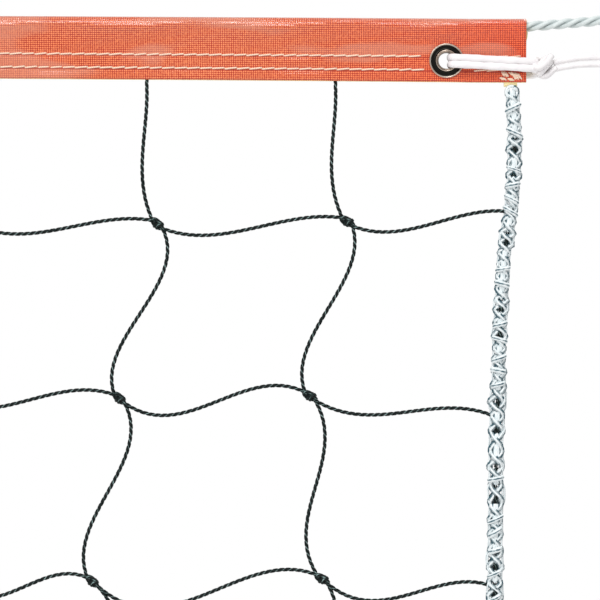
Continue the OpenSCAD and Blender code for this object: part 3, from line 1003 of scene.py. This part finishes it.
make_stitches("upper_stitches", UPPER_STITCH_DEPTH, 0.003, "upper_stitching")
make_stitches("lower_stitches", LOWER_STITCH_DEPTH, 0.0145, "lower_stitching")
for side_sign, side_name in SIDES:
    make_bartack(side_sign, side_name)
    make_grommet(side_sign, side_name)
    make_tab(side_sign, side_name)


# ---- netting ----

ROW_DEPTH = [0.0312, 0.104, 0.1964, 0.2934, 0.390, 0.487, 0.583, 0.680, 0.777, 0.874, 0.982]
ROW_SWAY = [-0.001, 0.005, -0.015, -0.019, -0.006, -0.014, 0.004, -0.009, 0.003, -0.005, 0.0]
ROW_UNEVEN = [0.0, 0.0003, 0.0005, 0.011, 0.004, 0.009, 0.005, 0.010, 0.006, 0.004, 0.0]
ROW_JOIN = [0.0, 0.098, 0.207, 0.297, 0.395, 0.492, 0.588, 0.684, 0.781, 0.879]
ROW_DIP = [0.0, 0.042, 0.062, 0.092, 0.050, 0.070, 0.045, 0.064, 0.052, 0.060]
ROW_RISE = [0.0, 0.020, 0.045, 0.046, 0.040, 0.052, 0.030, 0.044, 0.036, 0.040]
COLUMN_OUT, COLUMN_OUT_CHANGE, COLUMN_IN, TOP_IN = 0.062, 0.008, 0.058, 0.030
DIP_CHANGE, DEPTH_CHANGE = 0.2, 0.0007
# The side cord's line: height, and distance in from the band's end.
SIDE_ROUTE = [
    (-0.990, 0.009), (-0.890, 0.013), (-0.790, 0.016), (-0.670, 0.011), (-0.560, 0.009), (-0.450, 0.013),
    (-0.350, 0.017), (-0.290, 0.0165), (-0.235, 0.016), (-0.193, 0.015), (-0.130, 0.0124),
    (-0.097, 0.0082), (-0.062, 0.006), (-0.0324, 0.0076)]
TWINE = 0.002
NEAR_COLUMNS, NEAR_ROWS = 3, 3
# From a knot's centre to where the twine leaves it. Twine arrives at the opposite end.
KNOT_END = np.array([0.0026, -0.0021])


def spin(column, row):
    """A number from -1 to 1 that varies from knot to knot, so that the squares aren't all alike."""
    return math.cos(math.radians(169 * (column - 1) + 35 * max(row - 3, 0)))


def side_inset(depth):
    heights = [p[0] for p in SIDE_ROUTE]
    return float(np.interp(-depth, heights, [p[1] for p in SIDE_ROUTE]))


def knot_at(column, row):
    """A knot's X and Z. Column 0 is the right side cord and column COLUMNS + 1 the left one."""
    if column == 0:
        return np.array([BAND_END - side_inset(ROW_JOIN[row]), -ROW_JOIN[row]])
    if column > COLUMNS:
        return np.array([side_inset(ROW_JOIN[row]) - BAND_END, -ROW_JOIN[row]])
    turn = spin(column, row)
    change = DEPTH_CHANGE * turn if 1 <= row <= ROWS else 0.0
    x = BAND_END - SQUARE * column + ROW_SWAY[row] + ROW_UNEVEN[row] * turn
    return np.array([x, change - ROW_DEPTH[row]])


def bar(start, end, leaving, arriving, count):
    """A bar between two knots, bowed by how it leaves one and arrives at the other."""
    t = np.linspace(0, 1, count)[:, None]
    flat = start + (end - start) * t + leaving * (t * (1 - t) ** 2) - arriving * (t ** 2 * (1 - t))
    return np.stack([flat[:, 0], np.zeros(count), flat[:, 1]], axis=1)


def column_bar(column, row, count):
    leaving = 0.0 if row == 0 else COLUMN_OUT - COLUMN_OUT_CHANGE * spin(column, row)
    arriving = TOP_IN if row == 0 else 0.0 if row == ROWS else COLUMN_IN
    start = knot_at(column, row) + (KNOT_END if row > 0 else 0.0)
    end = knot_at(column, row + 1) - (KNOT_END if row < ROWS else 0.0)
    return bar(start, end, np.array([leaving, 0.0]), np.array([arriving, 0.0]), count)


def row_bar(column, row, count):
    """The bar from a knot to the next one on its right."""
    share = 1.0 if row == 1 else 1 - DIP_CHANGE * spin(column, row)
    start = knot_at(column, row) + (KNOT_END if column <= COLUMNS else 0.0)
    end = knot_at(column - 1, row) - (KNOT_END if column > 1 else 0.0)
    leaving = np.array([0.0, -ROW_DIP[row] * share])
    return bar(start, end, leaving, np.array([0.0, -ROW_RISE[row] * share]), count)


def is_near(column, row):
    return column <= NEAR_COLUMNS and row <= NEAR_ROWS


# A netting knot's strands, by place along its slanting axis, height in front (-) and place across.
KNOT_BIGHT = [
    (0.0038, -0.0004, 0.0004), (0.0018, -0.0013, 0.0012), (-0.0010, -0.0014, 0.0016),
    (-0.0031, -0.0006, 0.0009), (-0.0036, 0.0002, -0.0002), (-0.0028, 0.0010, -0.0011),
    (0.0, 0.0014, -0.0014), (0.0026, 0.0006, -0.0006)]
KNOT_THROUGH = [
    (-0.0036, 0.0002, 0.0002), (-0.0016, 0.0, -0.0002), (0.0012, 0.0, 0.0002), (0.0036, -0.0002, -0.0001)]
KNOT_STUB = [(0.0, -0.0014, -0.0004), (0.0014, -0.0018, 0.0012), (0.0019, -0.0014, 0.0025)]
KNOT_COIL = (0.0026, 1.6, (0.0018, 0.0017))
# The number of points along a bar, near the right end and elsewhere.
NEAR_COUNT, FAR_COUNT = 170, 13
SELVAGE_DEPTH = 0.0117


def make_knots(near):
    """Each knot is a bight of twine with wraps round it. Near the right end another strand goes
    through it, and a short stub stands out."""
    shape = Shape()
    section = circle(TWINE * 0.5, 9) if near else circle(TWINE * 0.52, 4)
    step = 0.0004 if near else 0.0020
    for column in range(1, COLUMNS + 1):
        for row in range(1, ROWS + 1):
            if is_near(column, row) != near:
                continue
            x, z = knot_at(column, row)
            centre = np.array([x, 0.0, z])
            slant = math.radians(-40 + 7 * spin(column, row))
            axis = np.array([math.cos(slant), 0.0, math.sin(slant)])
            across = np.array([-math.sin(slant), 0.0, math.cos(slant)])
            wraps = coil(centre, axis, *KNOT_COIL, step)
            sweep(shape, wraps, section, 0.0, None)
            for strand in (KNOT_BIGHT, KNOT_THROUGH, KNOT_STUB) if near else (KNOT_BIGHT,):
                strand = np.array(strand)
                line = centre + strand[:, :1] * axis + strand[:, 1:2] * BACK + strand[:, 2:] * across
                sweep(shape, smooth(line, step), section, 0.0, None)
    return shape


def bend_with_netting(thing, node):
    """A piece that goes from the band to the netting: its transform goes into its mesh and its CAD node is
    hidden.
    """
    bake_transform(thing)
    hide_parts(node)


def make_netting():
    near_section = lobed(TWINE / 2 * 1.08, 3, 5)
    far_section = circle(TWINE / 2, 4)
    top_near, top_far, near_bars, far_columns, far_rows = Shape(), Shape(), Shape(), Shape(), Shape()
    for column in range(1, COLUMNS + 1):
        for row in range(0, ROWS + 1):
            near = is_near(column, row)
            path = column_bar(column, row, NEAR_COUNT if near else FAR_COUNT)
            if row == 0:
                x = path[0][0]
                stub = [(x + 0.0006, 0.0, -0.0120), (x + 0.0002, 0.0, -0.0180), (x, 0.0, -0.0240)]
                step = 0.0006 if near else 0.006
                path = smooth(np.concatenate([stub, path[::4 if near else 1]]), step)
                shape = top_near if near else top_far
            else:
                shape = near_bars if near else far_columns
            begin = 0.0021 * column + 0.0033 * row
            sweep(shape, path, near_section if near else far_section, TWINE_LAY if near else 0.0, begin=begin)
    for row in range(1, ROWS + 1):
        for column in range(COLUMNS + 1, 0, -1):
            near = is_near(column, row)
            path = row_bar(column, row, NEAR_COUNT if near else FAR_COUNT)
            shape = near_bars if near else far_rows
            begin = 0.0017 * column + 0.0039 * row
            sweep(shape, path, near_section if near else far_section, TWINE_LAY if near else 0.0, begin=begin)
    for name, shape in (("top_bars_near", top_near), ("top_bars", top_far)):
        thing = make_object(name, shape, twine_black)
        bend_with_netting(thing, "vertical_twines")
    add_piece("near_bars", near_bars, twine_black,
              "netting", "black_twine", "vertical_twines", "horizontal_twines")
    add_piece("column_bars", far_columns, twine_black, "netting", "black_twine", "vertical_twines")
    add_piece("row_bars", far_rows, twine_black, "netting", "black_twine", "horizontal_twines")
    add_piece("knots_near", make_knots(True), twine_black, "netting", "black_twine", "netting_knots")
    add_piece("knots", make_knots(False), twine_black, "netting", "black_twine", "netting_knots")
    selvage = Shape()
    x = np.linspace(BAND_END - 0.012, -BAND_END + 0.012, 400)
    sweep(selvage, np.stack([x, 0 * x, 0 * x - SELVAGE_DEPTH], axis=1), circle(TWINE / 2, 6))
    add_piece("top_selvage", selvage, twine_black, "band", "black_twine", "top_selvage_twine")


make_netting()


# ---- side and bottom cords ----

LACE = 0.0033
LACE_SECTION = (1.0, 0.72)
# How far a braid's strands move out and in as they pass over and under, by share of their reach.
OVER_ASIDE, OVER_FRONT = 0.10, 0.26
BRAID_DEPTH = 0.0020


def lacing(centre_line, out, half_pitch, width, depth, section, shape):
    """A round braid of four strands about a line: two wind each way, over and under each other."""
    along = distance_along(centre_line)
    steps = np.linalg.norm(np.diff(centre_line, axis=0), axis=1)
    turn = np.concatenate([[0.0], np.cumsum(steps * np.pi / ((half_pitch[:-1] + half_pitch[1:]) / 2))])
    turn = turn + 0.35 * np.sin(along / 0.0131) + 0.25 * np.sin(along / 0.0047 + 1.0)
    number = 0
    for hand in (1, -1):
        for offset in (0.0, np.pi):
            number += 1
            here = turn + offset
            weaving = hand * np.cos(2 * here)
            slack = 1 + 0.10 * np.sin(along / 0.0061 + 2.1 * number)
            slack = slack + 0.08 * np.sin(along / 0.0163 + 1.3 * number)
            aside = hand * width * slack * np.sin(here) * (1 + OVER_ASIDE * weaving)
            front = -depth * np.cos(here) * (1 + OVER_FRONT * weaving)
            path = centre_line + out * aside[:, None] + BACK * front[:, None]
            fullness = 1 + 0.16 * np.sin(along / 0.0037 + 1.7 * number) * np.sin(along / 0.0203 + number)
            sweep(shape, path, section, 0.0, grow=fullness)


def hitches(centre_line, out, spacing, width, depth, slit, shape):
    """Turns of the lacing straight across the cord, at uneven steps, except over a slit."""
    rng = random.Random(5)
    along = distance_along(centre_line)
    place_along = spacing
    while place_along < along[-1] - spacing:
        centre = np.array([np.interp(place_along, along, centre_line[:, axis]) for axis in range(3)])
        number = int(np.searchsorted(along, place_along))
        aside = out[number]
        forward = np.cross(aside, BACK)
        turn = np.linspace(-0.2, 1.15 * np.pi, 12)[:, None]
        climb = rng.uniform(0.0006, 0.0022) * rng.choice((-1, 1))
        reach = width * rng.uniform(1.25, 1.5)
        path = (centre + aside * reach * np.cos(turn) - np.array([0.0, depth, 0.0]) * np.sin(turn)
                + forward * climb * np.cos(turn))
        if slit[number] < 0.2:
            sweep(shape, path, circle(rng.uniform(0.0011, 0.0016), 6) * (0.7, 1.0), up=forward)
        place_along += spacing * rng.uniform(0.6, 1.5)


# How far the twine inside the side cord comes out towards a slit in its lacing.
SLIT_REACH = 0.0026
SIDE_KNOT_COIL = (0.0048, 2.4, (0.0020, 0.0012))
# The bottom cord's height, and how many points it has along its length.
BOTTOM_LEVEL = -0.986
BOTTOM_COUNT = 2600
BOTTOM_HALF_PITCH = 0.0088


def cover_at(centre_line, open_part, phase):
    """How well the slack lacing covers the twine inside: below 0 it leaves it bare."""
    along = distance_along(centre_line)
    cover = 0.45 - 0.25 * open_part + 0.8 * np.sin(along / 0.0027 + phase)
    return cover + 0.7 * np.sin(along / 0.0071 + phase)


def filling(centre_line, open_part, shape):
    """Slack lacing that covers the twine inside, before and behind, and leaves it bare in places."""
    section = circle(0.0021, 8) * (1.0, 0.5)
    for phase, front in enumerate((-0.0017, 0.0017)):
        fullness = np.clip(3.0 * cover_at(centre_line, open_part, phase) + 0.6, 0.02, 1.0)
        sweep(shape, centre_line + BACK * front, section, grow=fullness)


# Each edge filament's place aside, as a share of the lacing's half width, and in front (-).
FILAMENTS = ((1.12, -0.0009), (1.30, 0.0002), (-1.14, -0.0008), (-1.28, 0.0003))


def edge_filaments(centre_line, out, width, shape):
    """Thin filaments that wander a little down both edges of the lacing."""
    along = distance_along(centre_line)
    section = circle(0.00052, 5)
    for number, (share, front) in enumerate(FILAMENTS):
        wander = 1 + 0.07 * np.sin(along / 0.0089 + 1.9 * number) + 0.05 * np.sin(along / 0.0031 + number)
        path = centre_line + out * (width * share * wander)[:, None] + BACK * front
        sweep(shape, path, section)


def make_side_cord(side, name):
    heights = np.array([p[0] for p in SIDE_ROUTE])[::-1]
    insets = np.array([p[1] for p in SIDE_ROUTE])[::-1]
    route = np.stack([-insets, 0 * insets, heights], axis=1)
    step = 0.0010 if side > 0 else 0.0016
    line = smooth(mirrored(route, side), step)
    forward = unit(np.gradient(line, axis=0))
    out = np.cross(forward, BACK)
    open_part = np.clip((-line[:, 2] - 0.17) / 0.03, 0, 1)
    half_pitch = 0.0061 + 0.0027 * open_part
    front_slit = np.clip(-3.0 * cover_at(line, open_part, 0), 0, 1)
    back_slit = np.clip(-3.0 * cover_at(line, open_part, 1), 0, 1)
    width = (0.0024 + 0.0003 * open_part) * (1 + 0.22 * front_slit)
    cord_shape = Shape()
    bundle = lobed(LACE / 2, 4, 3 if side > 0 else 2) * LACE_SECTION
    lacing(line, out, half_pitch, width, BRAID_DEPTH, bundle, cord_shape)
    edge_filaments(line, out, width, cord_shape)
    filling(line, open_part, cord_shape)
    hitches(line, out, 0.0105, 0.0024, 0.0036, front_slit, cord_shape)
    ring = mirrored([(-0.0078, -0.0012, -0.0345)], side)[0]
    turn = np.linspace(0, 2 * np.pi, 25)[:, None]
    loop = ring + np.array([0.0027, 0.0, 0.0]) * np.cos(turn) + np.array([0.0, 0.0, 0.0030]) * np.sin(turn)
    sweep(cord_shape, loop, circle(0.0010, 8))
    cord = make_object("side_cord_" + name + "_lacing", cord_shape, lace_white)
    twine_shape = Shape()
    twine_line = line + BACK * SLIT_REACH * (back_slit - front_slit)[:, None]
    sweep(twine_shape, twine_line, lobed(TWINE / 2 * 1.15, 3, 4), TWINE_LAY)
    for row in range(1, ROWS + 1):
        x, z = knot_at(0 if side > 0 else COLUMNS + 1, row)
        centre = (x - side * 0.0002, 0.0, z - 0.001)
        wraps = coil(centre, (0.0, 0.0, 1.0), *SIDE_KNOT_COIL, 0.0006)
        sweep(twine_shape, wraps, circle(TWINE * 0.45, 6), 0.0, None)
    twine = make_object("side_twine_" + name + "_strands", twine_shape, twine_black)
    bend_with_netting(cord, "side_cord_" + name)
    bend_with_netting(twine, "side_twine_" + name)


def make_bottom_cord():
    end = BAND_END - SIDE_ROUTE[0][1]
    x = np.linspace(end, -end, BOTTOM_COUNT)
    line = np.stack([x, 0 * x, 0 * x + BOTTOM_LEVEL], axis=1)
    out = np.tile(np.array([0.0, 0.0, 1.0]), (BOTTOM_COUNT, 1))
    half_pitch = np.full(BOTTOM_COUNT, BOTTOM_HALF_PITCH)
    cord_shape = Shape()
    lacing(line, out, half_pitch, 0.0026, BRAID_DEPTH, circle(LACE / 2, 4) * LACE_SECTION, cord_shape)
    add_piece("bottom_cord_lacing", cord_shape, lace_white, "netting", "laced_white", "bottom_cord")
    twine_shape = Shape()
    sweep(twine_shape, line[::6], circle(TWINE / 2 * 1.1, 6))
    add_piece("bottom_twine_strands", twine_shape, twine_black, "netting", "black_twine", "bottom_twine")


for side_sign, side_name in SIDES:
    make_side_cord(side_sign, side_name)
make_bottom_cord()


# ---- floor and light ----

FLOOR_HALF_SIZE = (9, 4)
FLOOR_LEVEL = -1.25


def make_floor():
    mesh = bpy.data.meshes.new("floor")
    wide, deep = FLOOR_HALF_SIZE
    corners = [(-wide, -deep), (wide, -deep), (wide, deep), (-wide, deep)]
    mesh.from_pydata([(x, y, FLOOR_LEVEL) for x, y in corners], [], [(0, 1, 2, 3)])
    mesh.materials.append(floor_material())
    floor = bpy.data.objects.new("floor", mesh)
    bpy.context.scene.collection.objects.link(floor)


AMBIENT = 0.6
# Name, strength, apparent size and turn in degrees of each soft studio lamp.
SUNS = [("key", 0.9, 14, (62, 0, -32)), ("sheen", 1.3, 18, (36, 0, -8)), ("back", 0.7, 30, (55, 0, 150))]


def make_light():
    world = bpy.data.worlds.new("studio")
    world.use_nodes = True
    tree = world.node_tree
    background = tree.nodes["Background"]
    background.inputs["Color"].default_value = (1, 1, 1, 1)
    ray = tree.nodes.new("ShaderNodeLightPath")
    strength = tree.nodes.new("ShaderNodeMath")
    strength.operation = "MULTIPLY_ADD"
    tree.links.new(ray.outputs["Is Camera Ray"], strength.inputs[0])
    strength.inputs[1].default_value = 1.0 - AMBIENT
    strength.inputs[2].default_value = AMBIENT
    tree.links.new(strength.outputs[0], background.inputs["Strength"])
    bpy.context.scene.world = world
    for name, strength, spread, turn in SUNS:
        data = bpy.data.lights.new(name, "SUN")
        data.energy = strength
        data.angle = math.radians(spread)
        lamp = bpy.data.objects.new(name, data)
        lamp.rotation_euler = [math.radians(value) for value in turn]
        bpy.context.scene.collection.objects.link(lamp)


make_floor()
make_light()
